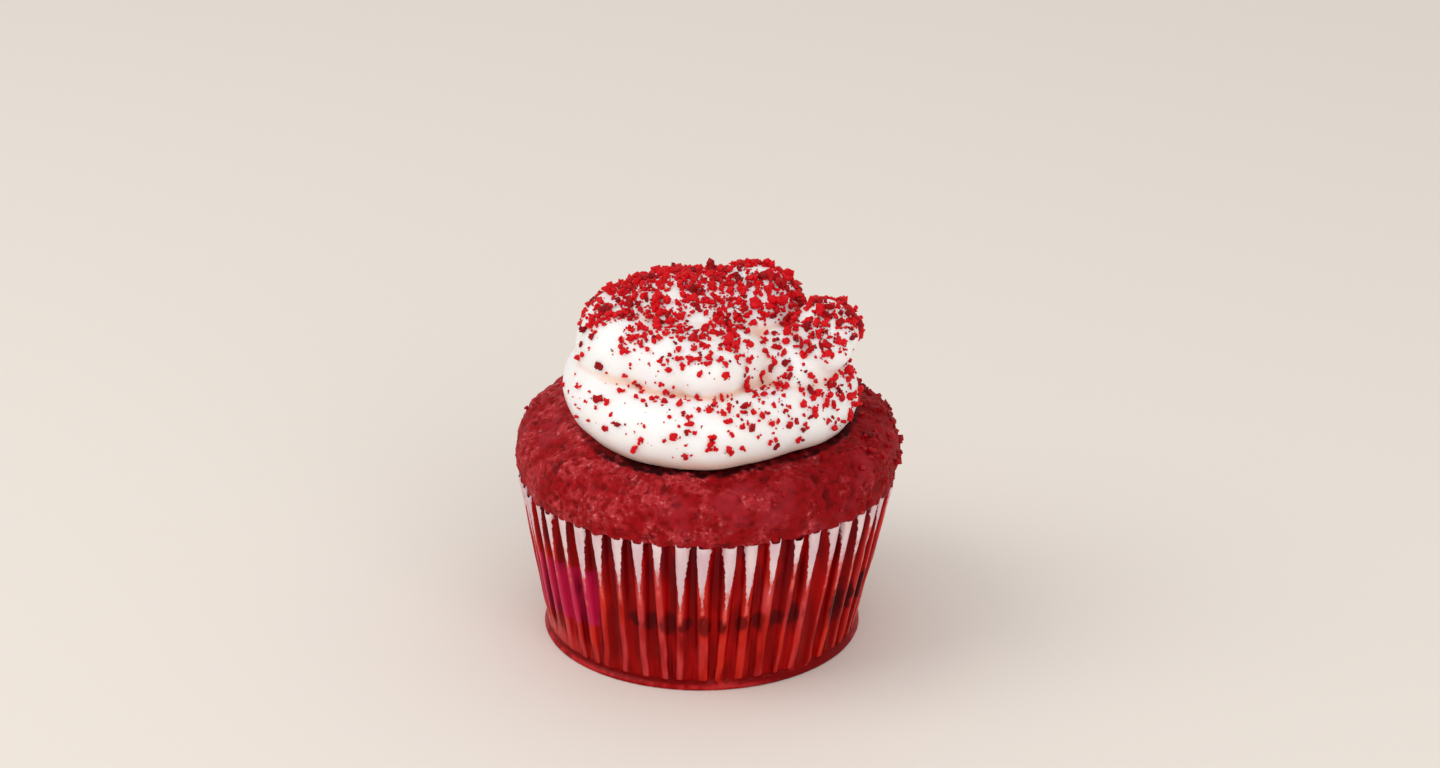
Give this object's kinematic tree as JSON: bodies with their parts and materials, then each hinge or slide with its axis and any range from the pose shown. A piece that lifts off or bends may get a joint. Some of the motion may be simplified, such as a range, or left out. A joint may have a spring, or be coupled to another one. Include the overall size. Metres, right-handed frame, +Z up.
{
  "type": "cupcake",
  "caption": "Round cupcake in a pleated paper case, with a domed crumbly top and a soft swirl of frosting scattered with cake crumbs.",
  "frame": {"origin": "on the table, under the middle of the cupcake", "axes": "+Z up, front towards -Y, +X to the right as seen from the front"},
  "size_m": [0.0736, 0.0733, 0.0714],
  "materials": {
    "case_paper": "greaseproof red paper, slightly glossy, with pale pleat crests at the rim",
    "cake_crumb": "moist deep red cake crumb",
    "frosting_cream": "soft satin warm white frosting with red cake crumbs on it"
  },
  "bodies": {
    "root": {"paper_case": "case_paper", "cake": "cake_crumb", "frosting": "frosting_cream"}
  },
  "joints": []
}
